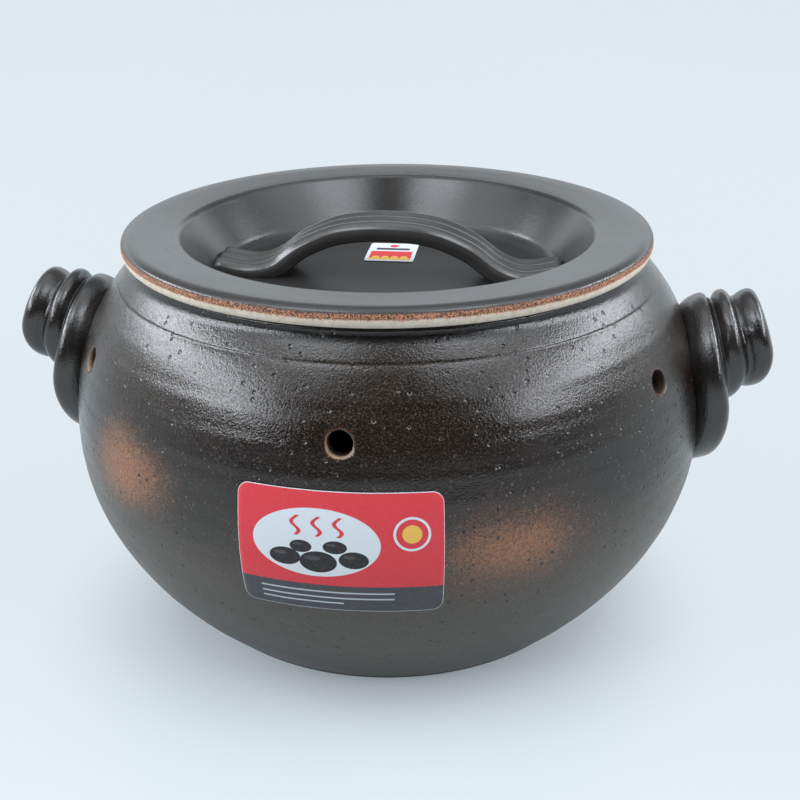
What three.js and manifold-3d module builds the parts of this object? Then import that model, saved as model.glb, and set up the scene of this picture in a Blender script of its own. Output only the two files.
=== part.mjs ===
// Stone roasting pot: a round-bellied clay pot with ribbed lugs, steam vents, a dished lid
// with a grooved strap handle, paper labels and a bed of loose pebbles.
// Millimetres, +Z up. The origin is the middle of the base and the lugs lie along X.
import * as THREE from 'three';
import { mergeVertices } from 'three/addons/utils/BufferGeometryUtils.js';
import Module from 'manifold-3d';

const wasm = await Module();
wasm.setup();

// Pot
const BELLY_RADIUS = 135;
const BELLY_HEIGHT = 84;
const FOOT_RADIUS = 95;
const FOOT_CHAMFER = 2.5;
const FOOT_RING_WIDTH = 15;
const FOOT_RECESS = 2;
const WALL = 8;
const FLOOR_THICKNESS = 8;
const RIM_HEIGHT = 157.2;
const RIM_WIDTH = 11;
const RIM_ROUND = 2;
const MOUTH_RADIUS = 95.5;
const NECK_HEIGHT = 7.2;
const COLLAR_STEP = 2.8;
const POT_SEGMENTS = 48;

// Steam vents
const VENT_COUNT = 6;
const VENT_RADIUS = 4.9;
const VENT_HEIGHT = 123.5;
const VENT_TILT = THREE.MathUtils.degToRad(15);

// Lugs: three rounded tiers on a leaning axis, their tops level and their undersides stepped
const LUG_HEIGHT = 100.7;
const LUG_STAND_OFF = 2.6;
const LUG_TILT = THREE.MathUtils.degToRad(18);
const LUG_FLANGE_RADIUS = 34.5;
const LUG_MIDDLE_RADIUS = 23;
const LUG_END_RADIUS = 20.2;
const LUG_GROOVE = 1.2;
const LUG_REACH = 29.4;
const LUG_LIFT = 11.6;
const LUG_FLANGE_LEAN = 0.14;
const LUG_TUCK = 10;
const LUG_SEGMENTS = 28;

// Lid
const BRIM_OVERHANG = 3.5;
const BRIM_THICKNESS = 7.3;
const BRIM_ROUND = 3.4;
const BRIM_SLOPE = 1.6;
const DISH_CLEARANCE = 3;
const DISH_WALL = 5.5;
const WELL_DEPTH = 21.5;
const WELL_RUN = 15.5;
const LID_FLOOR_THICKNESS = 7;

// Strap handle across the well, with the heights of its top above the well's floor
const STRAP_WIDTH = 25;
const STRAP_THICKNESS = 8.5;
const STRAP_RISE = 25;
const STRAP_TROUGH = 5.4;
const STRAP_TAIL = 7.8;
const STRAP_GROOVES = 2;
const STRAP_GROOVE_DEPTH = 1.1;
const STRAP_EDGE_DROP = 3.2;
const STRAP_STEPS = 34;

// Paper labels
const LABEL_WIDTH = 72.5;
const LABEL_HEIGHT = 47.8;
const LABEL_CENTRE = 84.4;
const LABEL_CORNER = 4;
const LABEL_THICKNESS = 0.35;
const LID_LABEL_WIDTH = 22;
const LID_LABEL_LENGTH = 27;
const LID_LABEL_CORNER = 1.6;
const LID_LABEL_OFFSET = 3.2;
const LID_LABEL_SHIFT = -2;

// Pebbles in rings around one in the middle
const PEBBLE_RINGS = 3;
const PEBBLE_WALL_MARGIN = 6.6;
const PEBBLE_LENGTH_RATIO = 0.92;
const PEBBLE_HEIGHT_RATIO = 0.6;
const PEBBLE_SEED = 7;

// Gaps
const REST_GAP = 0.3;
const JOIN_GAP = 0.3;
const LABEL_GAP = 0.1;

// Heights and radii that follow from the sizes above
const rimRadius = MOUTH_RADIUS + RIM_WIDTH;
const collarRadius = rimRadius + COLLAR_STEP;
const collarHeight = RIM_HEIGHT - NECK_HEIGHT;
const floorHeight = FOOT_RECESS + FLOOR_THICKNESS;
const floorRadius = FOOT_RADIUS - WALL - 3;
const brimUnder = RIM_HEIGHT + REST_GAP;
const brimTop = brimUnder + BRIM_THICKNESS;
const brimRadius = rimRadius + BRIM_OVERHANG;
const dishRadius = MOUTH_RADIUS - DISH_CLEARANCE;
const wellRadius = dishRadius - DISH_WALL;
const wellEdge = brimTop - BRIM_SLOPE;
const wellFloor = wellEdge - WELL_DEPTH;
const wellFloorRadius = wellRadius - WELL_RUN;
const dishUnder = wellFloor - LID_FLOOR_THICKNESS;

// Solids and meshes

function toSolid(geometry) {
  const bare = geometry.clone();
  bare.deleteAttribute('normal');
  bare.deleteAttribute('uv');
  const merged = mergeVertices(bare, 1e-4);
  const index = merged.index.array;
  const kept = [];
  for (let i = 0; i < index.length; i += 3) {
    const [a, b, c] = index.slice(i, i + 3);
    if (a !== b && b !== c && c !== a) {
      kept.push(a, b, c);
    }
  }
  return new wasm.Manifold(new wasm.Mesh({
    numProp: 3,
    vertProperties: Float32Array.from(merged.attributes.position.array),
    triVerts: Uint32Array.from(kept),
  }));
}

function toGeometry(solid) {
  const mesh = solid.getMesh();
  const geometry = new THREE.BufferGeometry();
  geometry.setAttribute('position', new THREE.BufferAttribute(mesh.vertProperties, 3));
  geometry.setIndex(new THREE.BufferAttribute(mesh.triVerts, 1));
  geometry.computeVertexNormals();
  return geometry;
}

function turned(profile, segments) {
  const points = profile.map(([r, z]) => new THREE.Vector2(r, z));
  return new THREE.LatheGeometry(points, segments).rotateX(Math.PI / 2);
}

function bezier(a, b, c, d, steps) {
  const curve = new THREE.CubicBezierCurve(
    new THREE.Vector2(...a), new THREE.Vector2(...b), new THREE.Vector2(...c), new THREE.Vector2(...d));
  return curve.getPoints(steps).map((p) => [p.x, p.y]);
}

function roundedRectangle(width, height, corner) {
  const x = width / 2;
  const y = height / 2;
  const shape = new THREE.Shape();
  shape.moveTo(-x + corner, -y);
  shape.lineTo(x - corner, -y);
  shape.absarc(x - corner, -y + corner, corner, -Math.PI / 2, 0);
  shape.lineTo(x, y - corner);
  shape.absarc(x - corner, y - corner, corner, 0, Math.PI / 2);
  shape.lineTo(-x + corner, y);
  shape.absarc(-x + corner, y - corner, corner, Math.PI / 2, Math.PI);
  shape.lineTo(-x, -y + corner);
  shape.absarc(-x + corner, -y + corner, corner, Math.PI, Math.PI * 1.5);
  return shape;
}

// Pot body

function bellyCurve(steps) {
  const up = BELLY_HEIGHT;
  const rise = collarHeight - BELLY_HEIGHT;
  const lower = bezier(
    [FOOT_RADIUS, FOOT_CHAMFER],
    [FOOT_RADIUS + 0.57 * (BELLY_RADIUS - FOOT_RADIUS), 0.29 * up],
    [BELLY_RADIUS, 0.62 * up],
    [BELLY_RADIUS, up], steps);
  const upper = bezier(
    [BELLY_RADIUS, up],
    [BELLY_RADIUS, up + 0.4 * rise],
    [collarRadius + 0.65 * (BELLY_RADIUS - collarRadius), up + 0.755 * rise],
    [collarRadius, collarHeight], steps);
  return [...lower, ...upper.slice(1)];
}

function bellyRadiusAt(height) {
  const curve = bellyCurve(40);
  const above = curve.findIndex(([, z]) => z >= height);
  const [r0, z0] = curve[above - 1];
  const [r1, z1] = curve[above];
  return r0 + (r1 - r0) * (height - z0) / (z1 - z0);
}

function swollen(curve, distance) {
  return curve.map(([r, z], i) => {
    const [r0, z0] = curve[Math.max(i - 1, 0)];
    const [r1, z1] = curve[Math.min(i + 1, curve.length - 1)];
    const length = Math.hypot(r1 - r0, z1 - z0);
    return [r + distance * (z1 - z0) / length, z - distance * (r1 - r0) / length];
  });
}

// The belly as a filled solid, grown outwards: it trims what is set against the pot
function bellySolid(growth) {
  const curve = swollen(bellyCurve(9), growth);
  const top = curve[curve.length - 1];
  return toSolid(turned([[0, curve[0][1]], ...curve, [0, top[1]]], POT_SEGMENTS));
}

function potProfile() {
  const belly = bellyCurve(9);
  const ringInner = FOOT_RADIUS - FOOT_RING_WIDTH;
  const between = ([, z]) => z > floorHeight + 4 && z < collarHeight - 4;
  const inside = swollen(bellyCurve(8), -WALL).filter(between).reverse();
  return [
    [0, FOOT_RECESS],
    [ringInner - FOOT_RECESS, FOOT_RECESS],
    [ringInner, 0],
    [FOOT_RADIUS - FOOT_CHAMFER, 0],
    ...belly,
    [rimRadius + 0.3 * COLLAR_STEP, collarHeight + 0.2 * NECK_HEIGHT],
    [rimRadius, collarHeight + 0.45 * NECK_HEIGHT],
    [rimRadius, RIM_HEIGHT - RIM_ROUND],
    [rimRadius - RIM_ROUND * 0.4, RIM_HEIGHT - RIM_ROUND * 0.4],
    [rimRadius - RIM_ROUND, RIM_HEIGHT],
    [MOUTH_RADIUS + RIM_ROUND, RIM_HEIGHT],
    [MOUTH_RADIUS, RIM_HEIGHT - RIM_ROUND],
    [MOUTH_RADIUS, collarHeight],
    [MOUTH_RADIUS + 3, collarHeight - 3],
    ...inside,
    [floorRadius, floorHeight],
    [0, floorHeight],
  ];
}

function ventDrill(turn) {
  const drill = new THREE.CylinderGeometry(VENT_RADIUS, VENT_RADIUS, WALL * 5, 14);
  drill.rotateX(-VENT_TILT);
  drill.translate(0, -bellyRadiusAt(VENT_HEIGHT), VENT_HEIGHT);
  drill.rotateZ(turn);
  return toSolid(drill);
}

function potBody() {
  let solid = toSolid(turned(potProfile(), POT_SEGMENTS));
  for (let i = 0; i < VENT_COUNT; i += 1) {
    solid = solid.subtract(ventDrill(i * 2 * Math.PI / VENT_COUNT));
  }
  return toGeometry(solid);
}

// Lugs

function lugProfile() {
  const f = LUG_FLANGE_RADIUS;
  const m = LUG_MIDDLE_RADIUS;
  const e = LUG_END_RADIUS;
  const g = LUG_GROOVE;
  const stations = [
    [-0.9, 0], [-0.9, 0.8 * f], [-0.3, f - 4 * g], [-0.2, f - 2 * g], [-0.1, f - 0.7 * g], [-0.02, f - 0.15 * g],
    [0.05, f], [0.11, f - 0.1 * g], [0.16, f - 0.6 * g], [0.2, f - 1.7 * g], [0.23, f - 3.6 * g],
    [0.25, 0.42 * f + 0.58 * m], [0.27, 0.2 * f + 0.8 * m], [0.29, 0.05 * f + 0.95 * m], [0.31, m - 0.2 * g],
    [0.35, m - 0.2 * g], [0.41, m], [0.47, m], [0.53, m - 0.4 * g], [0.58, m - 1.5 * g], [0.615, e - 0.6 * g],
    [0.645, e - 1.1 * g], [0.68, e - g], [0.74, e - 0.4 * g], [0.81, e], [0.87, e], [0.92, e - 0.5 * g],
    [0.96, e - 1.8 * g], [0.985, 0.75 * e], [1, 0.5 * e], [1.01, 0],
  ];
  return stations.map(([s, r]) => new THREE.Vector2(r, s * LUG_REACH));
}

// Raises each ring towards the level top, leans the flange back against the belly,
// and tucks the underside in
function shapeLug(geometry) {
  const position = geometry.attributes.position;
  for (let i = 0; i < position.count; i += 1) {
    const along = position.getY(i);
    const up = position.getZ(i);
    const ring = Math.max(Math.hypot(position.getX(i), up), LUG_END_RADIUS - 2 * LUG_GROOVE);
    const outward = Math.max(along, 0) / LUG_REACH;
    const lift = LUG_LIFT * (1 - Math.exp(-16 * Math.max(0, outward - 0.225)));
    const lean = LUG_FLANGE_LEAN * Math.max(0, 1 - 1.6 * outward);
    const tuck = LUG_TUCK * (1 - 0.35 * outward) * Math.max(0, -up / ring) ** 2;
    position.setY(i, along + lean * up - tuck);
    position.setZ(i, up + lift);
  }
  return geometry;
}

function lug() {
  const geometry = shapeLug(new THREE.LatheGeometry(lugProfile(), LUG_SEGMENTS));
  const side = new THREE.Vector3(0, -1, 0);
  const axis = new THREE.Vector3(Math.cos(LUG_TILT), 0, Math.sin(LUG_TILT));
  const up = new THREE.Vector3(-Math.sin(LUG_TILT), 0, Math.cos(LUG_TILT));
  geometry.applyMatrix4(new THREE.Matrix4().makeBasis(side, axis, up));
  geometry.translate(bellyRadiusAt(LUG_HEIGHT) + LUG_STAND_OFF, 0, LUG_HEIGHT);
  return toGeometry(toSolid(geometry).subtract(bellySolid(JOIN_GAP)));
}

// Lid

function wellCurve(inset) {
  return [
    [wellRadius - inset, wellEdge],
    [wellRadius - 1.6 - inset, wellEdge - 0.8],
    [wellRadius - 0.22 * WELL_RUN - inset, wellEdge - 0.15 * WELL_DEPTH],
    [wellRadius - 0.5 * WELL_RUN - inset, wellEdge - 0.45 * WELL_DEPTH],
    [wellFloorRadius + 0.2 * WELL_RUN - inset, wellFloor + 0.2 * WELL_DEPTH],
    [wellFloorRadius + 0.07 * WELL_RUN - inset, wellFloor + 0.07 * WELL_DEPTH],
    [wellFloorRadius - 2.5 - inset, wellFloor + inset],
    [0, wellFloor + inset],
  ];
}

function lidProfile() {
  const middle = brimUnder + 0.5 * BRIM_THICKNESS;
  return [
    [0, dishUnder],
    [wellFloorRadius - 4, dishUnder],
    [wellFloorRadius + 2.5, dishUnder + 2],
    [wellFloorRadius + 0.35 * WELL_RUN + DISH_WALL, dishUnder + 0.3 * WELL_DEPTH],
    [dishRadius - 1.2, brimUnder - 2.5],
    [dishRadius, brimUnder],
    [brimRadius - 1.4, brimUnder],
    [brimRadius - 0.4, brimUnder + 1],
    [brimRadius, middle],
    [brimRadius - 0.25 * BRIM_ROUND, brimTop - 0.45 * BRIM_ROUND],
    [brimRadius - 0.6 * BRIM_ROUND, brimTop - 0.13 * BRIM_ROUND],
    [brimRadius - 1.2 * BRIM_ROUND, brimTop],
    ...wellCurve(0),
  ];
}

function lid() {
  return toGeometry(toSolid(turned(lidProfile(), POT_SEGMENTS)));
}

// Strap handle

function strapPath() {
  const end = wellFloorRadius + 1;
  const side = [
    [1, STRAP_TAIL], [0.88, STRAP_TROUGH + 0.3], [0.77, STRAP_TROUGH],
    [0.66, STRAP_TROUGH + 0.16 * (STRAP_RISE - STRAP_TROUGH)],
    [0.5, STRAP_TROUGH + 0.58 * (STRAP_RISE - STRAP_TROUGH)],
    [0.28, STRAP_TROUGH + 0.9 * (STRAP_RISE - STRAP_TROUGH)],
  ];
  const left = side.map(([x, z]) => [-x * end, z]);
  const right = side.map(([x, z]) => [x * end, z]).reverse();
  const points = [...left, [0, STRAP_RISE], ...right];
  return new THREE.CatmullRomCurve3(points.map(([x, z]) => new THREE.Vector3(x, 0, wellFloor + z)));
}

// The section's first coordinate runs across the strap and its second runs down through it
function strapSection() {
  const half = STRAP_WIDTH / 2;
  const ribs = STRAP_GROOVES + 1;
  const rib = STRAP_WIDTH / ribs;
  const shape = new THREE.Shape();
  shape.moveTo(-half, STRAP_EDGE_DROP);
  shape.lineTo(-half + 0.12 * rib, 0.5 * STRAP_EDGE_DROP);
  shape.lineTo(-half + 0.35 * rib, 0.12 * STRAP_EDGE_DROP);
  shape.lineTo(-half + 0.6 * rib, 0);
  for (let i = 1; i < ribs; i += 1) {
    const groove = -half + i * rib;
    shape.lineTo(groove - 0.28 * rib, 0.3 * STRAP_GROOVE_DEPTH);
    shape.lineTo(groove - 0.14 * rib, 0.8 * STRAP_GROOVE_DEPTH);
    shape.lineTo(groove, STRAP_GROOVE_DEPTH);
    shape.lineTo(groove + 0.14 * rib, 0.8 * STRAP_GROOVE_DEPTH);
    shape.lineTo(groove + 0.28 * rib, 0.3 * STRAP_GROOVE_DEPTH);
    shape.lineTo(groove + 0.4 * rib, 0);
  }
  shape.lineTo(half - 0.35 * rib, 0.12 * STRAP_EDGE_DROP);
  shape.lineTo(half - 0.12 * rib, 0.5 * STRAP_EDGE_DROP);
  shape.lineTo(half, STRAP_EDGE_DROP);
  shape.lineTo(half - 0.3, STRAP_THICKNESS - 2.4);
  shape.lineTo(half - 2.4, STRAP_THICKNESS);
  shape.lineTo(-half + 2.4, STRAP_THICKNESS);
  shape.lineTo(-half + 0.3, STRAP_THICKNESS - 2.4);
  return shape;
}

function strap() {
  const sweep = new THREE.ExtrudeGeometry(strapSection(), {
    steps: STRAP_STEPS,
    extrudePath: strapPath(),
  });
  const well = wellCurve(JOIN_GAP).reverse();
  const above = wellFloor + 2 * STRAP_RISE;
  const room = toSolid(turned([...well, [wellRadius - JOIN_GAP, above], [0, above]], POT_SEGMENTS));
  return toGeometry(toSolid(sweep).intersect(room));
}

// Labels

function potLabel() {
  const outer = bellySolid(LABEL_GAP + LABEL_THICKNESS);
  const sheet = outer.subtract(bellySolid(LABEL_GAP));
  const shape = roundedRectangle(LABEL_WIDTH, LABEL_HEIGHT, LABEL_CORNER);
  const cutter = new THREE.ExtrudeGeometry(shape, {
    depth: BELLY_RADIUS,
    bevelEnabled: false,
    curveSegments: 5,
  });
  cutter.rotateX(Math.PI / 2);
  cutter.translate(0, -BELLY_RADIUS / 3, LABEL_CENTRE);
  return toGeometry(sheet.intersect(toSolid(cutter)));
}

function lidLabel() {
  const shape = roundedRectangle(LID_LABEL_WIDTH, LID_LABEL_LENGTH, LID_LABEL_CORNER);
  const sheet = new THREE.ExtrudeGeometry(shape, {
    depth: LABEL_THICKNESS,
    bevelEnabled: false,
    curveSegments: 5,
  });
  return toGeometry(toSolid(sheet));
}

// Pebbles

let pebbleState = PEBBLE_SEED;

function chance() {
  pebbleState = (pebbleState * 16807) % 2147483647;
  return pebbleState / 2147483647;
}

function pebble(pitch) {
  const phases = [chance(), chance(), chance()].map((v) => v * 2 * Math.PI);
  const half = 0.5 * pitch * PEBBLE_LENGTH_RATIO * (0.93 + 0.07 * chance());
  const width = half * (0.8 + 0.14 * chance());
  const height = half * PEBBLE_HEIGHT_RATIO * (0.9 + 0.2 * chance());
  const geometry = new THREE.IcosahedronGeometry(1, 1);
  const position = geometry.attributes.position;
  const point = new THREE.Vector3();
  for (let i = 0; i < position.count; i += 1) {
    point.fromBufferAttribute(position, i);
    const waves = point.toArray().map((v, axis) => Math.sin(3 * v + phases[axis]));
    point.multiplyScalar(0.97 + 0.01 * (waves[0] + waves[1] + waves[2]));
    position.setXYZ(i, point.x, point.y, point.z);
  }
  geometry.scale(half, width, height);
  geometry.rotateX(0.3 * (chance() - 0.5));
  geometry.rotateZ(chance() * 2 * Math.PI);
  return toGeometry(toSolid(geometry));
}

// Assembly

const glaze = new THREE.MeshStandardMaterial({ color: 0x2b2723, roughness: 0.42, metalness: 0 });
const lugGlaze = new THREE.MeshStandardMaterial({ color: 0x241f1d, roughness: 0.3, metalness: 0 });
const lidGlaze = new THREE.MeshStandardMaterial({ color: 0x45423f, roughness: 0.4, metalness: 0 });
const paper = new THREE.MeshStandardMaterial({ color: 0xc8313d, roughness: 0.55, metalness: 0 });
const lidPaper = new THREE.MeshStandardMaterial({ color: 0xd8564a, roughness: 0.55, metalness: 0 });
const stone = new THREE.MeshStandardMaterial({ color: 0x5a564f, roughness: 0.75, metalness: 0 });

const pot = new THREE.Group();
const potGroup = new THREE.Group();
const lidGroup = new THREE.Group();
pot.add(potGroup, lidGroup);

function place(group, name, geometry, material) {
  const mesh = new THREE.Mesh(geometry, material);
  mesh.name = name;
  group.add(mesh);
  return mesh;
}

place(potGroup, 'pot_body', potBody(), glaze);
const lugGeometry = lug();
place(potGroup, 'handle_right', lugGeometry, lugGlaze);
place(potGroup, 'handle_left', lugGeometry, lugGlaze).rotation.z = Math.PI;
place(potGroup, 'pot_label', potLabel(), paper);

place(lidGroup, 'lid', lid(), lidGlaze);
place(lidGroup, 'lid_handle', strap(), lidGlaze);
place(lidGroup, 'lid_label', lidLabel(), lidPaper).position.set(
  LID_LABEL_SHIFT, STRAP_WIDTH / 2 + LID_LABEL_OFFSET + LID_LABEL_LENGTH / 2, wellFloor + LABEL_GAP);

// Each ring holds six times its number of pebbles, so neighbours lie one pitch apart
const pebblePitch = (floorRadius - PEBBLE_WALL_MARGIN) / (PEBBLE_RINGS * 3 / Math.PI);
let pebbleNumber = 0;
for (let ring = 0; ring <= PEBBLE_RINGS; ring += 1) {
  const count = ring === 0 ? 1 : 6 * ring;
  for (let i = 0; i < count; i += 1) {
    const geometry = pebble(pebblePitch);
    geometry.computeBoundingBox();
    const radius = ring * pebblePitch * 3 / Math.PI;
    const angle = (i + 0.5 * (ring % 2)) * 2 * Math.PI / count;
    pebbleNumber += 1;
    const mesh = place(potGroup, `pebble_${String(pebbleNumber).padStart(2, '0')}`, geometry, stone);
    const height = floorHeight + JOIN_GAP - geometry.boundingBox.min.z;
    mesh.position.set(radius * Math.cos(angle), radius * Math.sin(angle), height);
  }
}

export default pot;
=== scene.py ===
"""Stone roasting pot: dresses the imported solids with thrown, glazed clay in the photograph's view."""

import math

import bpy
from mathutils import Matrix, Vector, noise


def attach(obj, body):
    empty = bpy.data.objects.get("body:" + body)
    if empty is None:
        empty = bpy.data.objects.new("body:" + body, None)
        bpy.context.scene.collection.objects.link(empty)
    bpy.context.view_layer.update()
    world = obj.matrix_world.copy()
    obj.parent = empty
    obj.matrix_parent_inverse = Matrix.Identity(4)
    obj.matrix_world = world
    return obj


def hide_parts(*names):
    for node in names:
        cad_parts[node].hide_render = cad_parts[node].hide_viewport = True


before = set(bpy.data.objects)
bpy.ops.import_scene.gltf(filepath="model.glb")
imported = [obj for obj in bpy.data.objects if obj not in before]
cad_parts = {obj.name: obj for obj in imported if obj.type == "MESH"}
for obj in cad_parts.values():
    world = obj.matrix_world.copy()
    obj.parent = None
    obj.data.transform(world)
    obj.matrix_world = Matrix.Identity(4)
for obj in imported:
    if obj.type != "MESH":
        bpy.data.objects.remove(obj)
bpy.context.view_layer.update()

MM = 0.001

# Sizes in millimetres, as in the solids
BELLY_RADIUS = 135.0
BELLY_HEIGHT = 84.0
FOOT_RADIUS = 95.0
FOOT_CHAMFER = 2.5
WALL = 8.0
FLOOR_HEIGHT = 10.0
RIM_HEIGHT = 157.2
RIM_RADIUS = 106.5
MOUTH_RADIUS = 95.5
COLLAR_RADIUS = 109.3
COLLAR_HEIGHT = 150.0
VENT_COUNT = 6
VENT_RADIUS = 4.9
VENT_HEIGHT = 123.5
VENT_TILT = math.radians(15)
LUG_HEIGHT = 100.7
LUG_STAND_OFF = 2.6
LUG_TILT = math.radians(18)
LUG_FLANGE = 34.5
LUG_MIDDLE = 23.0
LUG_END = 20.2
LUG_GROOVE = 1.2
LUG_REACH = 29.4
LUG_LIFT = 11.6
LUG_LEAN = 0.14
LUG_TUCK = 10.0
BRIM_UNDER = 157.5
BRIM_TOP = 164.8
BRIM_RADIUS = 110.0
WELL_FLOOR = 141.7
WELL_FLOOR_RADIUS = 71.5
STRAP_WIDTH = 25.0
STRAP_THICKNESS = 8.5
STRAP_RISE = 25.0
STRAP_TROUGH = 5.4
STRAP_TAIL = 7.8
STRAP_GROOVES = 2
STRAP_GROOVE_DEPTH = 1.1
STRAP_EDGE_DROP = 3.2
LABEL_WIDTH = 72.5
LABEL_HEIGHT = 47.8
LABEL_CENTRE = 84.4
LABEL_CORNER = 4.0
LID_LABEL_WIDTH = 22.0
LID_LABEL_LENGTH = 27.0
LID_LABEL_CORNER = 1.6
LID_LABEL_PLACE = (-2.0, 29.2)

# Sizes in millimetres that only the looks need
BASE_RECESS = 2.0
COLLAR_FOOT = 146.1
LID_UNDER = 134.7
SHEET_TOP = 0.36
SHEET_UNDER = 0.1
SHEET_STAND_OFF = 0.25
RIDGE_PITCH = 8.3
FINE_RIDGE_PITCH = 4.7

# Round each vent: how far its marks reach, the width of its thin rim, and how painted shade deepens into
# its bore
VENT_REACH = 14.0
VENT_RIM = 0.6
BORE_FADE = 7.0
# How much painted shade each vent's bore already takes at its mouth, in turn round from the front vent
VENT_SHADES = (0.0, 0.30, 0.12, 0.25, 0.05, 0.10)

# A vent's drill: distance along its axis from the outside, and share of the vent's radius
VENT_DRILL = [
    (-22, 0.94), (-9, 0.94), (-7, 0.93), (-3, 0.93), (-1.4, 0.94), (-0.8, 0.95),
    (-0.3, 0.98), (0.05, 1.02), (5, 1.4)]

# Where the ochre flashes lie on the belly: angle from the front, height, half width, half height
FLASHES = [
    (26, 82, 50, 31), (-40, 96, 46, 30), (92, 74, 40, 26),
    (150, 90, 48, 30), (-155, 84, 50, 30), (-97, 78, 38, 24)]

# How finely the pieces are divided
BELLY_STEPS = 60
INSIDE_STEPS = 40
POT_SEGMENTS = 288
VENT_SIDES = 40
LUG_SIDES = 120
LID_SEGMENTS = 256
STRAP_STEPS = 64
SHEET_COLUMNS = 48
SHEET_ROWS = 24
SHEET_CORNER_ROWS = 8
PEBBLE_LEVELS = 2

# The photograph's camera: how far it stands round from the front, its place in millimetres, how it is
# turned, and its focal length and frame in pixels
VIEW_TURN = math.radians(7.65)
VIEW_BACK = 460.0
VIEW_UP = 292.0
VIEW_PITCH = math.radians(24.57)
VIEW_YAW = math.radians(0.59)
VIEW_ROLL = math.radians(-0.44)
VIEW_FOCAL = 1120.0
VIEW_FRAME = 800.0
SENSOR_WIDTH = 36.0


# Numbers and curves

def part_way(value, low, high):
    """How far a value lies from low to high, from 0 to 1."""
    return min(1.0, max(0.0, (value - low) / (high - low)))


def hand(angle, spread, along):
    """Smooth noise round an axis and along it, for the slight wander of hand-made clay."""
    return noise.noise(Vector((spread * math.cos(angle), spread * math.sin(angle), along)))


def bezier(a, b, c, d, steps):
    """Points on a cubic curve, both ends included."""
    points = []
    for i in range(steps + 1):
        t = i / steps
        s = 1 - t
        points.append(tuple(
            s ** 3 * a[k] + 3 * s * s * t * b[k] + 3 * s * t * t * c[k] + t ** 3 * d[k]
            for k in range(2)))
    return points


def smooth_through(points, steps):
    """A Catmull-Rom curve through the points."""
    ends = [points[0]] + list(points) + [points[-1]]
    curve = []
    for i in range(1, len(ends) - 2):
        p0, p1, p2, p3 = ends[i - 1:i + 3]
        for j in range(steps):
            t = j / steps
            curve.append(tuple(
                0.5 * (2 * p1[k] + (p2[k] - p0[k]) * t
                       + (2 * p0[k] - 5 * p1[k] + 4 * p2[k] - p3[k]) * t * t
                       + (3 * p1[k] - p0[k] - 3 * p2[k] + p3[k]) * t ** 3)
                for k in range(2)))
    curve.append(tuple(points[-1]))
    return curve


def belly_curve(steps):
    """Radius and height up the outside of the pot, from its foot to its collar."""
    swell = BELLY_RADIUS - FOOT_RADIUS
    shoulder = BELLY_RADIUS - COLLAR_RADIUS
    rise = COLLAR_HEIGHT - BELLY_HEIGHT
    lower = bezier(
        (FOOT_RADIUS, FOOT_CHAMFER), (FOOT_RADIUS + 0.57 * swell, 0.29 * BELLY_HEIGHT),
        (BELLY_RADIUS, 0.62 * BELLY_HEIGHT), (BELLY_RADIUS, BELLY_HEIGHT), steps)
    upper = bezier(
        (BELLY_RADIUS, BELLY_HEIGHT), (BELLY_RADIUS, BELLY_HEIGHT + 0.4 * rise),
        (COLLAR_RADIUS + 0.65 * shoulder, BELLY_HEIGHT + 0.755 * rise),
        (COLLAR_RADIUS, COLLAR_HEIGHT), steps)
    return lower + upper[1:]


BELLY = belly_curve(BELLY_STEPS)


def belly_radius(height):
    """Outer radius of the pot at a height, clamped to the belly's ends."""
    height = min(max(height, BELLY[0][1]), BELLY[-1][1])
    for (r0, z0), (r1, z1) in zip(BELLY, BELLY[1:]):
        if z1 >= height:
            return r0 + (r1 - r0) * (height - z0) / max(z1 - z0, 1e-9)
    return BELLY[-1][0]


def swollen(curve, distance):
    """The curve moved outwards along its normals."""
    moved = []
    for i, (r, z) in enumerate(curve):
        r0, z0 = curve[max(i - 1, 0)]
        r1, z1 = curve[min(i + 1, len(curve) - 1)]
        length = math.hypot(r1 - r0, z1 - z0)
        moved.append((r + distance * (z1 - z0) / length, z - distance * (r1 - r0) / length))
    return moved


# Meshes

def new_object(name, verts, faces, materials):
    """A smooth mesh object from millimetres."""
    mesh = bpy.data.meshes.new(name)
    mesh.from_pydata([tuple(c * MM for c in v) for v in verts], [], faces)
    mesh.validate()
    for material in materials:
        mesh.materials.append(material)
    mesh.shade_smooth()
    obj = bpy.data.objects.new(name, mesh)
    bpy.context.scene.collection.objects.link(obj)
    return obj


def turned(profile, segments, change):
    """Vertices and faces of a profile turned about Z, from axis to axis. change adds to the radius."""
    verts = []
    rows = []
    for r, z in profile:
        row = []
        if r < 1e-6:
            row = [len(verts)] * segments
            verts.append((0.0, 0.0, z))
        else:
            for k in range(segments):
                angle = 2 * math.pi * k / segments
                radius = r + change(r, z, angle)
                row.append(len(verts))
                verts.append((radius * math.cos(angle), radius * math.sin(angle), z))
        rows.append(row)
    faces = []
    for low, high in zip(rows, rows[1:]):
        for k in range(segments):
            n = (k + 1) % segments
            ring = []
            for v in (low[k], low[n], high[n], high[k]):
                if v not in ring:
                    ring.append(v)
            if len(ring) > 2:
                faces.append(ring)
    return verts, faces


def tube_faces(rings, sides, first=0):
    """Faces of a tube of rings with both its ends closed. first is the number of its first vertex."""
    faces = []
    for ring in range(rings - 1):
        low = first + ring * sides
        for i in range(sides):
            n = (i + 1) % sides
            faces.append((low + i, low + i + sides, low + n + sides, low + n))
    last = first + (rings - 1) * sides
    faces.append([first + i for i in range(sides)])
    faces.append([last + i for i in reversed(range(sides))])
    return faces


def set_attribute(obj, name, values):
    layer = obj.data.attributes.new(name, "FLOAT", "POINT")
    layer.data.foreach_set("value", values)


# Shader nodes

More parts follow.
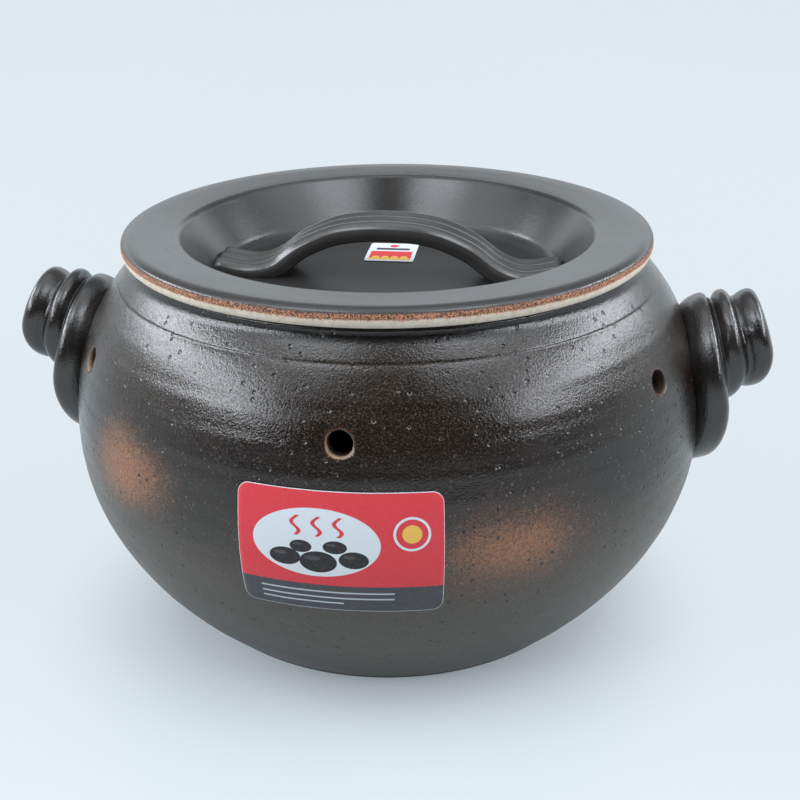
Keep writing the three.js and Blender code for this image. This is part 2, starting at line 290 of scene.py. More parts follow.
class Tree:
    """Adds shader nodes to a material or world and joins them."""

    def __init__(self, owner):
        owner.use_nodes = True
        self.tree = owner.node_tree
        self.tree.nodes.clear()

    def add(self, kind, values=None, **settings):
        node = self.tree.nodes.new("ShaderNode" + kind)
        for key, value in settings.items():
            setattr(node, key, value)
        for key, value in (values or {}).items():
            self.put(node.inputs[key], value)
        return node

    def put(self, socket, value):
        if isinstance(value, bpy.types.NodeSocket):
            self.tree.links.new(value, socket)
        else:
            socket.default_value = value

    def math(self, operation, a, b=0.0):
        return self.add("Math", {0: a, 1: b}, operation=operation).outputs[0]

    def plus(self, first, *others):
        total = first
        for other in others:
            total = self.math("ADD", total, other)
        return total

    def minus(self, a, b):
        return self.math("SUBTRACT", a, b)

    def times(self, a, b):
        return self.math("MULTIPLY", a, b)

    def larger(self, a, b):
        return self.math("MAXIMUM", a, b)

    def length(self, x, y):
        return self.math("SQRT", self.plus(self.times(x, x), self.times(y, y)))

    def ramp(self, value, low, high, to_low=0.0, to_high=1.0):
        """A soft step from to_low at low to to_high at high."""
        values = {"Value": value, "From Min": low, "From Max": high, "To Min": to_low, "To Max": to_high}
        return self.add("MapRange", values, interpolation_type="SMOOTHSTEP").outputs[0]

    def mix(self, factor, a, b):
        return self.add("Mix", {0: factor, 6: a, 7: b}, data_type="RGBA").outputs[2]

    def noise(self, vector, scale, detail=2.0, roughness=0.5):
        values = {"Vector": vector, "Scale": scale, "Detail": detail, "Roughness": roughness}
        return self.add("TexNoise", values).outputs[0]

    def attribute(self, name):
        return self.add("Attribute", attribute_name=name).outputs["Fac"]

    def object_space(self):
        return self.add("TexCoord").outputs["Object"]

    def split(self, vector):
        return self.add("SeparateXYZ", {0: vector}).outputs

    def bump(self, height_mm):
        return self.add("Bump", {"Height": height_mm, "Distance": MM, "Strength": 1.0}).outputs[0]

    def finish(self, values):
        shader = self.add("BsdfPrincipled", values)
        self.add("OutputMaterial", {"Surface": shader.outputs[0]})


def rgb(r, g, b):
    return (r, g, b, 1.0)


def new_material(name):
    material = bpy.data.materials.new(name)
    return material, Tree(material)


def pits(t, where, scale, share, size):
    """Depth of small round pits: this share of the pattern's cells holds one."""
    cells = t.add("TexVoronoi", {"Vector": where, "Scale": scale, "Randomness": 1.0})
    lot = t.add("SeparateColor", {0: cells.outputs["Color"]}).outputs[0]
    chosen = t.math("GREATER_THAN", lot, 1 - share)
    return t.times(t.ramp(cells.outputs["Distance"], size, 0.35 * size), chosen)


# Glazes: heights and distances in them are in metres, and relief is in millimetres

class PotPattern:
    """The patterns that the pot's colour, relief and gloss share."""

    def __init__(self, t):
        where = t.object_space()
        self.where = where
        self.height = t.split(where)[2]
        self.grit = t.noise(where, 1700, 2.0, 0.7)
        self.grain = t.noise(where, 1250, 1.0, 0.5)
        self.sand = t.noise(where, 430, 2.0, 0.6)
        self.peel = t.noise(where, 130, 2.0, 0.55)
        self.cloud = t.noise(where, 22, 3.0, 0.55)
        self.drift = t.plus(self.height, t.times(t.minus(self.cloud, 0.5), 0.04))
        self.low = t.ramp(self.drift, 0.098, 0.062)
        self.flash = t.attribute("flash")
        dots = t.plus(t.times(self.grit, 1.6), t.times(self.sand, 0.9))
        self.spray = t.ramp(t.plus(t.times(self.flash, 1.3), dots), 1.40, 2.50)
        self.middle = t.times(t.ramp(self.height, 0.050, 0.070), t.ramp(self.height, 0.125, 0.110))
        aside = t.add("VectorMath", {0: where, 1: (0.5, 0.3, 0.2)}, operation="ADD").outputs[0]
        self.pores = t.times(pits(t, aside, 520, 0.42, 0.30), self.middle)
        self.hollow = pits(t, where, 260, 0.34, 0.26)
        self.big = pits(t, where, 85, 0.012, 0.10)


def pot_tone(t, p):
    """Brown above, olive below, ochre in the flashes, sand and vent rims; painted shade in grit valleys,
    pores and pits, and a painted brim shadow on the neck.
    """
    brown = t.mix(t.ramp(p.cloud, 0.35, 0.68), rgb(0.0092, 0.0047, 0.0032), rgb(0.0175, 0.0108, 0.0072))
    olive = t.mix(p.cloud, rgb(0.050, 0.038, 0.025), rgb(0.074, 0.058, 0.040))
    tone = t.mix(p.low, brown, olive)
    ochre = t.mix(t.ramp(p.flash, 0.15, 0.95), rgb(0.072, 0.036, 0.024), rgb(0.320, 0.130, 0.055))
    tone = t.mix(p.spray, tone, ochre)
    foot = t.times(t.ramp(p.drift, 0.030, 0.016), 0.7)
    tone = t.mix(foot, tone, rgb(0.032, 0.021, 0.013))
    # Painted shade: the grit's valleys are darkened towards black.
    tone = t.mix(t.ramp(p.grit, 0.34, 0.64, 0.60, 0.0), tone, rgb(0.005, 0.0034, 0.0027))
    dust = t.times(pits(t, p.where, 640, 0.16, 0.42), 0.5)
    tone = t.mix(dust, tone, rgb(0.095, 0.076, 0.060))
    specks = t.times(pits(t, p.where, 480, 0.34, 0.27), p.middle)
    pale = t.mix(p.flash, rgb(0.115, 0.092, 0.068), rgb(0.46, 0.27, 0.145))
    tone = t.mix(t.times(specks, 0.55), tone, pale)
    # Painted shade in the pores, stronger on the ochre flashes.
    pores = t.times(p.pores, t.ramp(p.flash, 0.0, 0.5, 0.25, 0.75))
    tone = t.mix(pores, tone, rgb(0.012, 0.0085, 0.007))
    sprinkle = t.times(t.ramp(p.height, 0.108, 0.130), t.ramp(p.grit, 0.50, 0.70, 0.0, 0.6))
    tone = t.mix(sprinkle, tone, rgb(0.105, 0.074, 0.046))
    # Painted shadow: the neck under the lid's brim is darkened towards black.
    brim_shadow = t.ramp(p.height, 0.1500, 0.1535, 0.0, 0.85)
    tone = t.mix(brim_shadow, tone, rgb(0.003, 0.002, 0.0016))
    tone = t.mix(t.attribute("vent"), tone, rgb(0.070, 0.026, 0.016))
    # Painted shade: the hollows and big pits are darkened towards black.
    return t.mix(t.larger(p.hollow, p.big), tone, rgb(0.004, 0.003, 0.003))


def pot_relief(t, p):
    """Grain and sand, less the pits and pores."""
    relief = t.plus(
        t.times(p.grit, 0.095), t.times(p.grain, 0.09), t.times(p.sand, 0.08), t.times(p.peel, 0.05))
    for dent, depth in ((p.hollow, 0.25), (p.big, 0.28), (p.pores, 0.10)):
        relief = t.minus(relief, t.times(dent, depth))
    return relief


def pot_glaze():
    """Dark sandy glaze: glossy above, duller below and where ochre is sprayed on it."""
    m, t = new_material("pot_glaze_dark")
    p = PotPattern(t)
    dull = t.times(t.larger(p.spray, p.low), 0.22)
    t.finish({
        "Base Color": pot_tone(t, p),
        "Roughness": t.plus(t.ramp(p.cloud, 0.3, 0.7, 0.11, 0.16), t.times(p.sand, 0.06), dull),
        "IOR": 1.6,
        "Specular IOR Level": t.ramp(p.drift, 0.050, 0.014, 0.5, 0.30),
        "Normal": t.bump(pot_relief(t, p))})
    return m


def bare_clay():
    """Pale clay at the mouth of a vent, darkened further in by painted shade."""
    m, t = new_material("bare_clay")
    where = t.object_space()
    grain = t.noise(where, 900, 3.0, 0.65)
    cloud = t.noise(where, 70, 2.0)
    tone = t.mix(cloud, rgb(0.25, 0.14, 0.085), rgb(0.36, 0.24, 0.16))
    tone = t.mix(t.ramp(grain, 0.54, 0.70), tone, rgb(0.15, 0.075, 0.045))
    # Painted shade: deep in the bore the clay goes dark.
    tone = t.mix(t.ramp(t.attribute("bore_shade"), 0.05, 0.42), tone, rgb(0.030, 0.017, 0.011))
    t.finish({"Base Color": tone, "Roughness": 0.85, "Normal": t.bump(t.times(grain, 0.25))})
    return m


def lug_glaze():
    """Nearly black glaze with streaks round the ribs."""
    m, t = new_material("lug_glaze_dark")
    where = t.object_space()
    grain = t.noise(where, 1000, 2.0, 0.6)
    stretched = t.add("VectorMath", {0: where, 1: (9.0, 1.0, 1.6)}, operation="MULTIPLY").outputs[0]
    streak = t.noise(stretched, 55, 3.0, 0.6)
    cloud = t.noise(where, 40, 2.0)
    tone = t.mix(t.ramp(cloud, 0.35, 0.7), rgb(0.0085, 0.0060, 0.0052), rgb(0.020, 0.0150, 0.0132))
    tone = t.mix(t.times(t.ramp(grain, 0.63, 0.75), 0.5), tone, rgb(0.085, 0.07, 0.06))
    relief = t.plus(t.times(grain, 0.11), t.times(streak, 0.15))
    relief = t.minus(relief, t.times(pits(t, where, 130, 0.06, 0.25), 0.25))
    rough = t.ramp(streak, 0.3, 0.7, 0.19, 0.29)
    t.finish({"Base Color": tone, "Roughness": rough, "IOR": 1.72, "Normal": t.bump(relief)})
    return m


class Satin:
    """The satin glaze that the lid and its strap share."""

    def __init__(self, t, dark, pale, dull):
        self.where = t.object_space()
        self.grain = t.noise(self.where, 1000, 2.0, 0.6)
        self.sand = t.noise(self.where, 420, 2.0, 0.6)
        cloud = t.noise(self.where, 26, 3.0)
        tone = t.mix(t.ramp(cloud, 0.3, 0.7), dark, pale)
        self.tone = t.mix(t.times(t.ramp(self.grain, 0.60, 0.74), 0.4), tone, rgb(0.070, 0.064, 0.058))
        relief = t.plus(t.times(self.grain, 0.03), t.times(self.sand, 0.025))
        self.relief = t.minus(relief, t.times(pits(t, self.where, 90, 0.02, 0.10), 0.15))
        self.rough = t.ramp(cloud, 0.3, 0.7, dull, dull + 0.04)
        self.ior = 1.66


# Paler tones of the lid's satin glaze: a painted sheen for the light the raised strap catches.
def strap_glaze_with_painted_sheen():
    m, t = new_material("strap_glaze_with_painted_sheen")
    s = Satin(t, rgb(0.040, 0.036, 0.0335), rgb(0.056, 0.0515, 0.048), 0.23)
    t.finish({"Base Color": s.tone, "Roughness": s.rough, "IOR": s.ior, "Normal": t.bump(s.relief)})
    return m


def lid_glaze():
    """Satin glaze, duller in the well, whose floor takes painted shade. Its edge is broken brown, then
    bare cream clay under the brim.
    """
    m, t = new_material("lid_glaze_edge")
    s = Satin(t, rgb(0.018, 0.0155, 0.0142), rgb(0.026, 0.0235, 0.0218), 0.22)
    x, y, z = t.split(s.where)
    spread = t.length(x, y)
    outside = t.ramp(spread, 0.0925, 0.0935)
    wander = t.times(t.minus(t.noise(s.where, 45, 2.0), 0.5), 0.0009)
    fine = t.noise(s.where, 1700, 2.0, 0.65)
    broken = t.plus(z, wander, t.times(t.minus(fine, 0.5), 0.0030))
    brown = t.times(t.ramp(broken, 0.1634, 0.1630), outside)
    cream = t.times(t.ramp(broken, 0.1611, 0.1608), outside)
    # Painted shade: the floor of the well is darkened.
    tone = t.mix(t.ramp(spread, 0.074, 0.066, 0.0, 0.6), s.tone, rgb(0.009, 0.0078, 0.0072))
    rust = t.mix(t.ramp(fine, 0.42, 0.58), rgb(0.040, 0.015, 0.010), rgb(0.52, 0.215, 0.105))
    clay = t.mix(t.ramp(s.sand, 0.35, 0.7), rgb(0.70, 0.605, 0.485), rgb(0.60, 0.51, 0.405))
    clay = t.mix(t.times(t.ramp(s.grain, 0.66, 0.74), 0.7), clay, rgb(0.30, 0.21, 0.15))
    tone = t.mix(cream, t.mix(brown, tone, rust), clay)
    well = t.ramp(spread, 0.074, 0.066, 0.0, 0.24)
    brim = t.ramp(spread, 0.085, 0.089, 0.0, 0.04)
    rough = t.plus(s.rough, well, brim, t.times(brown, 0.50), t.times(cream, 0.12))
    relief = t.plus(s.relief, t.times(t.times(s.grain, 0.22), brown))
    t.finish({"Base Color": tone, "Roughness": rough, "IOR": s.ior, "Normal": t.bump(relief)})
    return m


def pebble_stone(name, dark, pale):
    m, t = new_material(name)
    where = t.object_space()
    cloud = t.noise(where, 90, 4.0, 0.6)
    grain = t.noise(where, 900, 2.0, 0.6)
    vein = t.ramp(t.math("ABSOLUTE", t.minus(t.noise(where, 60, 2.0), 0.5)), 0.03, 0.0)
    tone = t.mix(t.ramp(cloud, 0.3, 0.7), dark, pale)
    tone = t.mix(t.times(vein, 0.3), tone, rgb(0.45, 0.42, 0.38))
    tone = t.mix(t.times(t.ramp(grain, 0.6, 0.75), 0.4), tone, rgb(0.03, 0.03, 0.03))
    relief = t.plus(t.times(grain, 0.10), t.times(cloud, 0.6))
    rough = t.ramp(cloud, 0.3, 0.7, 0.55, 0.72)
    t.finish({"Base Color": tone, "Roughness": rough, "Normal": t.bump(relief)})
    return m


# Prints: a sheet's UV map holds millimetres from its middle, and so do the places and half sizes here

PAPER_WHITE = rgb(0.66, 0.70, 0.73)
PRINT_RED = rgb(0.66, 0.044, 0.058)
PRINT_BLACK = rgb(0.020, 0.019, 0.021)
PRINT_GREY = rgb(0.060, 0.060, 0.066)
PRINT_YELLOW = rgb(0.80, 0.47, 0.09)

LABEL_MARGIN = 0.15
LABEL_BAND = -12.3
LABEL_PANEL = (-8.0, 4.6, 22.5, 13.2)
LABEL_PEBBLES = [
    (-19, -1.4, 5.6, 3.5), (-7.2, -2.6, 6.6, 4.3), (5.2, -1.2, 5.2, 3.4),
    (-13.2, 3.2, 3.9, 2.4), (-1.2, 3.6, 4.2, 2.5)]
LABEL_STEAM = (-15.0, -7.5, 0.0)
LABEL_DISC = (25.2, 9.0)
LABEL_DISC_RINGS = ((6.4, PAPER_WHITE), (5.5, PRINT_RED), (3.4, PRINT_YELLOW))
LABEL_RULES = ((-15.4, 24.0), (-18.0, 24.0), (-20.4, 15.0))
LABEL_RULES_LEFT = -29.0
EMBERS = (-6.3, -2.1, 2.1, 6.3)


def sheet_space(t):
    x, y, _ = t.split(t.add("TexCoord").outputs["UV"])
    return x, y


def beyond(t, value, middle, reach):
    """How far a value lies outside a span about its middle."""
    return t.larger(t.minus(t.math("ABSOLUTE", t.minus(value, middle)), reach), 0.0)


def inside_box(t, x, y, cx, cy, half_x, half_y, corner):
    """1 inside a box with round corners."""
    far = t.length(beyond(t, x, cx, half_x - corner), beyond(t, y, cy, half_y - corner))
    return t.ramp(far, corner + 0.08, corner - 0.08)


def inside_oval(t, x, y, cx, cy, half_x, half_y):
    dx = t.math("DIVIDE", t.minus(x, cx), half_x)
    dy = t.math("DIVIDE", t.minus(y, cy), half_y)
    far = t.plus(t.times(dx, dx), t.times(dy, dy))
    soft = 0.16 / min(half_x, half_y)
    return t.ramp(far, 1 + soft, 1 - soft)


def steam(t, x, y, cx, low, high, width):
    """1 on a wavy rising line."""
    bend = t.times(t.math("SINE", t.times(t.minus(y, low), 0.95)), 1.3)
    away = t.math("ABSOLUTE", t.minus(t.minus(x, cx), bend))
    line = t.ramp(away, width + 0.1, width - 0.1)
    tall = t.times(t.math("GREATER_THAN", y, low), t.math("LESS_THAN", y, high))
    return t.times(line, tall)


def paper(t, tone):
    """Finishes a print as slightly fibrous, creased paper."""
    where = t.object_space()
    fibre = t.noise(where, 900, 2.0)
    crease = t.noise(where, 60, 2.0)
    relief = t.plus(t.times(fibre, 0.012), t.times(crease, 0.10))
    t.finish({
        "Base Color": t.mix(t.ramp(fibre, 0.35, 0.7, 0.0, 0.03), tone, rgb(0.55, 0.50, 0.48)),
        "Roughness": t.ramp(crease, 0.3, 0.7, 0.44, 0.56),
        "Specular IOR Level": 0.3,
        "Normal": t.bump(relief)})


def pot_label_print():
    """A red field over a dark band: a pale oval of pebbles and rising steam, and a sun disc."""
    m, t = new_material("pot_label_print")
    x, y = sheet_space(t)
    tone = t.mix(t.ramp(y, LABEL_BAND + 0.1, LABEL_BAND - 0.1), PRINT_RED, PRINT_GREY)
    tone = t.mix(inside_oval(t, x, y, *LABEL_PANEL), tone, PAPER_WHITE)
    for cx, cy, hx, hy in LABEL_PEBBLES:
        shine = inside_oval(t, x, y, cx - 0.3 * hx, cy + 0.35 * hy, 0.42 * hx, 0.22 * hy)
        tone = t.mix(inside_oval(t, x, y, cx, cy, hx, hy), tone, PRINT_BLACK)
        tone = t.mix(shine, tone, PRINT_GREY)
    for cx in LABEL_STEAM:
        tone = t.mix(steam(t, x, y, cx, 7.4, 14.8, 0.75), tone, PRINT_RED)
    for radius, colour in LABEL_DISC_RINGS:
        tone = t.mix(inside_oval(t, x, y, *LABEL_DISC, radius, radius), tone, colour)
    for row, half in LABEL_RULES:
        rule = inside_box(t, x, y, LABEL_RULES_LEFT + half, row, half, 0.32, 0.2)
        tone = t.mix(t.times(rule, 0.75), tone, PAPER_WHITE)
    half_wide = 0.5 * LABEL_WIDTH - LABEL_MARGIN
    half_high = 0.5 * LABEL_HEIGHT - LABEL_MARGIN
    field = inside_box(t, x, y, 0, 0, half_wide, half_high, LABEL_CORNER - LABEL_MARGIN)
    paper(t, t.mix(field, PAPER_WHITE, tone))
    return m


def lid_label_print():
    """A red square in a pale margin, with a row of embers and a plain dark bar."""
    m, t = new_material("lid_label_print")
    x, y = sheet_space(t)
    field = inside_box(t, x, y, 0, -5.2, 9.4, 6.4, 0.6)
    red = t.mix(inside_box(t, x, y, 0, -10.4, 9.4, 1.3, 0.1), PRINT_RED, PRINT_YELLOW)
    for cx in EMBERS:
        red = t.mix(inside_oval(t, x, y, cx, -8.6, 1.75, 2.6), red, PRINT_YELLOW)
    tone = t.mix(field, PAPER_WHITE, red)
    tone = t.mix(inside_box(t, x, y, 0, 4.6, 7.6, 1.5, 0.5), tone, PRINT_GREY)
    paper(t, t.mix(inside_oval(t, x, y, 0, 9.2, 2.0, 2.0), tone, PRINT_RED))
    return m


# Pot

def throwing(r, z, angle):
    """Ridges left by throwing, and the slight wander of a hand-made wall."""
    if r < MOUTH_RADIUS - 8 and z < 20:
        return 0.0
    turn = angle / (2 * math.pi)
    spiral = 0.06 * math.sin(2 * math.pi * (z / RIDGE_PITCH + turn))
    spiral += 0.03 * math.sin(2 * math.pi * (z / FINE_RIDGE_PITCH - turn) + 1.3)
    spiral *= 0.25 + 0.75 * part_way(z, 55, 100)
    fade = part_way(z, 4, 16) * part_way(z, COLLAR_HEIGHT - 5, COLLAR_HEIGHT - 13)
    wander = 0.35 * hand(angle, 2.2, z / 40)
    lumps = 0.14 * hand(angle, 9, z / 11)
    return fade * (spiral + wander + lumps)


def pot_profile():
    """Half outline: from the middle of the base up the outside to the rim, and down the inside."""
    outside = [p for p in BELLY if p[1] < COLLAR_FOOT]
    lining = swollen(belly_curve(INSIDE_STEPS), -WALL)
    inside = [p for p in reversed(lining) if FLOOR_HEIGHT + 7 < p[1] < COLLAR_HEIGHT - 5]
    recess = [(0, BASE_RECESS), (40, BASE_RECESS), (77, BASE_RECESS)]
    recess += bezier((77.6, BASE_RECESS), (78.6, 1.6), (79.2, 0.4), (80.5, 0), 6)
    ring = [(84, 0), (88, 0)]
    foot = bezier((90.5, 0), (93, 0), (94.2, 0.8), outside[0], 8)
    collar = smooth_through(
        [(112.6, 146.4), (112.5, 146.75), (112.15, 147.25), (111.4, 148.15), (110.25, 149.5),
         (109.1, 150.8), (108.1, 151.9), (107.3, 153.0), (106.75, 154.1), (RIM_RADIUS, 155.3)], 4)
    rim = bezier((RIM_RADIUS, 155.5), (106.4, 156.6), (105.4, RIM_HEIGHT), (103.8, RIM_HEIGHT), 8)
    lip = bezier((98.2, RIM_HEIGHT), (96.6, RIM_HEIGHT), (MOUTH_RADIUS, 156.4), (MOUTH_RADIUS, 154.6), 8)
    throat = bezier((MOUTH_RADIUS, 151.5), (MOUTH_RADIUS, 148.6), (98.5, 146.8), inside[0], 8)
    corner = bezier(inside[-1], (91.0, 13.0), (88.0, FLOOR_HEIGHT), (80.0, FLOOR_HEIGHT), 10)
    floor = [(r, FLOOR_HEIGHT) for r in (60, 40, 20, 0)]
    outer = recess + ring + foot[:-1] + outside + collar + rim + lip
    return outer + throat[:-1] + inside + corner[1:] + floor


def vent_axis(k):
    """Middle of a vent on the wall's outside, and the way it points."""
    turn = 2 * math.pi * k / VENT_COUNT - math.pi / 2
    radius = belly_radius(VENT_HEIGHT)
    level = math.cos(VENT_TILT)
    middle = Vector((radius * math.cos(turn), radius * math.sin(turn), VENT_HEIGHT))
    way = Vector((math.cos(turn) * level, math.sin(turn) * level, math.sin(VENT_TILT)))
    return middle, way


def vent_cutter(clay):
    """Round drills for all the vents, flared where they meet the outside so that the glaze rolls in."""
    verts = []
    faces = []
    for k in range(VENT_COUNT):
        middle, way = vent_axis(k)
        across = way.cross(Vector((0, 0, 1))).normalized()
        up = across.cross(way)
        faces += tube_faces(len(VENT_DRILL), VENT_SIDES, len(verts))
        for along, scale in VENT_DRILL:
            for i in range(VENT_SIDES):
                a = 2 * math.pi * i / VENT_SIDES
                uneven = 1 + 0.02 * math.sin(2 * a + k) + 0.012 * math.sin(5 * a + 2 * k)
                out = (across * math.cos(a) + up * math.sin(a)) * (VENT_RADIUS * scale * uneven)
                verts.append(tuple(middle + way * along + out))
    cutter = new_object("vent_cutter", verts, faces, [clay, clay])
    for polygon in cutter.data.polygons:
        polygon.material_index = 1
    return cutter


def cut(obj, cutter):
    """Cuts obj by cutter and keeps the result as its mesh."""
    modifier = obj.modifiers.new("cut", "BOOLEAN")
    modifier.operation = "DIFFERENCE"
    modifier.solver = "EXACT"
    modifier.object = cutter
    graph = bpy.context.evaluated_depsgraph_get()
    result = bpy.data.meshes.new_from_object(obj.evaluated_get(graph))
    obj.modifiers.clear()
    obj.data = result
    bpy.data.objects.remove(cutter)


def flash_amount(x, y, z):
    """How much ochre a point of the belly takes."""
    best = 0.0
    angle = math.degrees(math.atan2(x, -y))
    wobble = 0.16 * noise.noise(Vector((x / 22, y / 22, z / 16)))
    for centre, height, half_wide, half_high in FLASHES:
        turn = (angle - centre + 180) % 360 - 180
        dx = math.radians(turn) * BELLY_RADIUS / half_wide
        dz = (z - height) / half_high
        best = max(best, part_way(1.0 - math.hypot(dx, dz) + wobble, 0, 1))
    return best


def vent_marks(point, vents):
    """The thin rim round a vent at a point, and the painted shade it takes in a bore from its depth, both
    from 0 to 1.
    """
    rim = 0.0
    deep = 0.0
    for (middle, way), shade in zip(vents, VENT_SHADES):
        out = point - middle
        if out.length < VENT_REACH:
            along = out.dot(way)
            away = (out - way * along).length
            deep = max(deep, shade - along / BORE_FADE)
            rim = max(rim, 1.0 - abs(away - VENT_RADIUS - 0.1) / VENT_RIM)
    return rim, min(deep, 1.0)


def paint_pot(obj):
    """Stores each point's share of ochre, of the thin rim round a vent and of the painted shade deep in
    its bore.
    """
    flash = []
    rims = []
    bore_shades = []
    vents = [vent_axis(k) for k in range(VENT_COUNT)]
    for v in obj.data.vertices:
        point = v.co / MM
        outside = math.hypot(point.x, point.y) > belly_radius(point.z) - 0.5 * WALL
        rim, bore_shade = vent_marks(point, vents)
        flash.append(flash_amount(*point) if outside else 0.0)
        rims.append(rim if outside else 0.0)
        bore_shades.append(bore_shade)
    set_attribute(obj, "flash", flash)
    set_attribute(obj, "vent", rims)
    set_attribute(obj, "bore_shade", bore_shades)


def build_pot(glaze, clay):
    verts, faces = turned(pot_profile(), POT_SEGMENTS, throwing)
    pot = new_object("pot_shell", verts, faces, [glaze, clay])
    cut(pot, vent_cutter(clay))
    paint_pot(pot)
    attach(pot, "pot")
    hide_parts("pot_body")


# Lugs

def lug_stations():
    """Distance along a lug as a share of its reach, and its radius there."""
    f, m, e, g = LUG_FLANGE, LUG_MIDDLE, LUG_END, LUG_GROOVE
    flange = [
        (-0.62, 0.8 * f), (-0.3, f - 4 * g), (-0.2, f - 2 * g), (-0.1, f - 0.7 * g),
        (-0.02, f - 0.15 * g), (0.05, f), (0.11, f - 0.1 * g), (0.16, f - 0.6 * g),
        (0.2, f - 1.7 * g), (0.23, f - 3.6 * g)]
    step = [(0.25, 0.42 * f + 0.58 * m), (0.27, 0.2 * f + 0.8 * m), (0.29, 0.05 * f + 0.95 * m)]
    middle = [
        (0.31, m - 0.2 * g), (0.35, m - 0.2 * g), (0.41, m), (0.47, m),
        (0.53, m - 0.4 * g), (0.58, m - 1.5 * g)]
    end = [
        (0.615, e - 0.6 * g), (0.645, e - 1.1 * g), (0.68, e - g), (0.74, e - 0.4 * g),
        (0.81, e), (0.87, e), (0.92, e - 0.5 * g), (0.96, e - 1.8 * g),
        (0.985, 0.75 * e), (1, 0.5 * e), (1.01, 0.01)]
    return flange + step + middle + end


def lug_point(along, radius, angle, side):
    """A point on a lug: its rings rise towards a level top, tuck in below and stay out of the belly."""
    outward = max(along, 0.0)
    lift = LUG_LIFT * (1 - math.exp(-16 * max(0.0, outward - 0.225)))
    lean = LUG_LEAN * max(0.0, 1 - 1.6 * outward)
    uneven = 0.3 * hand(angle, 1.3, 4 * along + 9 * side) * min(1.0, radius / 12)
    ring = max(radius + uneven, 0.01)
    up = ring * math.sin(angle)
    low = max(0.0, -up) / max(ring, LUG_END - 2 * LUG_GROOVE)
    tuck = LUG_TUCK * (1 - 0.35 * outward) * low ** 2
    out = along * LUG_REACH + lean * up - tuck
    up += lift
    x = belly_radius(LUG_HEIGHT) + LUG_STAND_OFF + out * math.cos(LUG_TILT) - up * math.sin(LUG_TILT)
    y = ring * math.cos(angle)
    z = LUG_HEIGHT + out * math.sin(LUG_TILT) + up * math.cos(LUG_TILT)
    spread = math.hypot(x, y)
    least = belly_radius(z) - 1.0
    if spread < least:
        x, y = x * least / spread, y * least / spread
    return (side * x, side * y, z)


def build_lug(name, side, glaze):
    """A ribbed lug set against the belly on side +1 or -1 of X."""
    stations = smooth_through(lug_stations(), 6)
    verts = []
    for along, radius in stations:
        for i in range(LUG_SIDES):
            verts.append(lug_point(along, radius, 2 * math.pi * i / LUG_SIDES, side))
    lug = new_object(name, verts, tube_faces(len(stations), LUG_SIDES), [glaze])
    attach(lug, "pot")
    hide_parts("handle_right" if side > 0 else "handle_left")


# Lid

def lid_profile():
    """Half outline: from the middle of the underside out to the brim, then back into the well."""
    under = [(r, LID_UNDER) for r in (0, 30, 60)]
    turn = bezier((66, LID_UNDER), (71.5, 134.8), (74.5, 136.2), (77.5, 139.6), 10)
    dish = bezier((79.0, 141.4), (84.5, 147.5), (88.5, 151.2), (91.0, 154.6), 10)
    seat = bezier((91.4, 155.2), (92.2, 156.4), (92.4, 157.4), (94.2, BRIM_UNDER), 6)
    seat.append((100, BRIM_UNDER))
    edge = bezier((107.2, BRIM_UNDER), (108.9, BRIM_UNDER), (109.5, 158.2), (109.8, 159.6), 8)
    side = bezier((109.85, 159.9), (BRIM_RADIUS, 160.8), (BRIM_RADIUS, 161.7), (109.85, 162.4), 8)
    crown = bezier((109.8, 162.6), (109.45, 164.1), (107.9, BRIM_TOP), (105.2, BRIM_TOP), 14)
    brim = [(100, 164.38), (94, 163.88)]
    lip = bezier((88.6, 163.42), (87.4, 163.3), (86.6, 162.9), (85.9, 162.0), 10)
    wall = bezier((85.7, 161.7), (81.0, 155.2), (77.4, 150.0), (74.2, 145.6), 14)
    corner = bezier((73.9, 145.1), (72.4, 143.0), (70.6, 141.9), (67.2, WELL_FLOOR), 12)
    floor = [(r, WELL_FLOOR) for r in (55, 40, 25, 10, 0)]
    return under + turn + dish + seat + edge + side + crown + brim + lip + wall + corner + floor


def hand_turned(r, z, angle):
    """The lid is a little out of round."""
    return 0.25 * hand(angle, 1.5, z / 60) * min(1.0, r / 60)


def build_lid(glaze):
    verts, faces = turned(lid_profile(), LID_SEGMENTS, hand_turned)
    lid = new_object("lid_dish", verts, faces, [glaze])
    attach(lid, "lid")
    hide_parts("lid")


def strap_path():
    """The strap's top from the left to the right, arched over the well."""
    end = WELL_FLOOR_RADIUS + 1
    rise = STRAP_RISE - STRAP_TROUGH
    side = [
        (1, STRAP_TAIL), (0.88, STRAP_TROUGH + 0.3), (0.77, STRAP_TROUGH),
        (0.66, STRAP_TROUGH + 0.16 * rise), (0.5, STRAP_TROUGH + 0.58 * rise),
        (0.28, STRAP_TROUGH + 0.9 * rise)]
    left = [(-x * end, WELL_FLOOR + z) for x, z in side]
    right = [(x * end, WELL_FLOOR + z) for x, z in reversed(side)]
    return smooth_through(left + [(0, WELL_FLOOR + STRAP_RISE)] + right, 12)


def strap_section():
    """Outline across the strap: (across, depth below the top)."""
    half = STRAP_WIDTH / 2
    rib = STRAP_WIDTH / (STRAP_GROOVES + 1)
    top = []
    for i in range(STRAP_STEPS + 1):
        y = -half + 0.25 + (STRAP_WIDTH - 0.5) * i / STRAP_STEPS
        wave = 0.5 + 0.5 * math.cos(2 * math.pi * (y + half) / rib)
        edge = max(0.0, (abs(y) - half + 0.6 * rib) / (0.6 * rib))
        groove = STRAP_GROOVE_DEPTH * wave ** 0.8 if abs(y) < half - 0.5 * rib else 0.0
        top.append((y, groove + 0.85 * STRAP_EDGE_DROP * edge ** 2.4))
    lower = bezier((half - 0.1, 3.1), (half + 0.1, 4.0), (half + 0.1, 5.2), (half - 0.5, 6.2), 8)
    lower += bezier(
        (half - 1.0, 7.2), (half - 1.6, 8.2),
        (half - 2.6, STRAP_THICKNESS), (half - 4.4, STRAP_THICKNESS), 8)
    return top + lower + [(0.0, STRAP_THICKNESS)] + [(-y, d) for y, d in reversed(lower)]


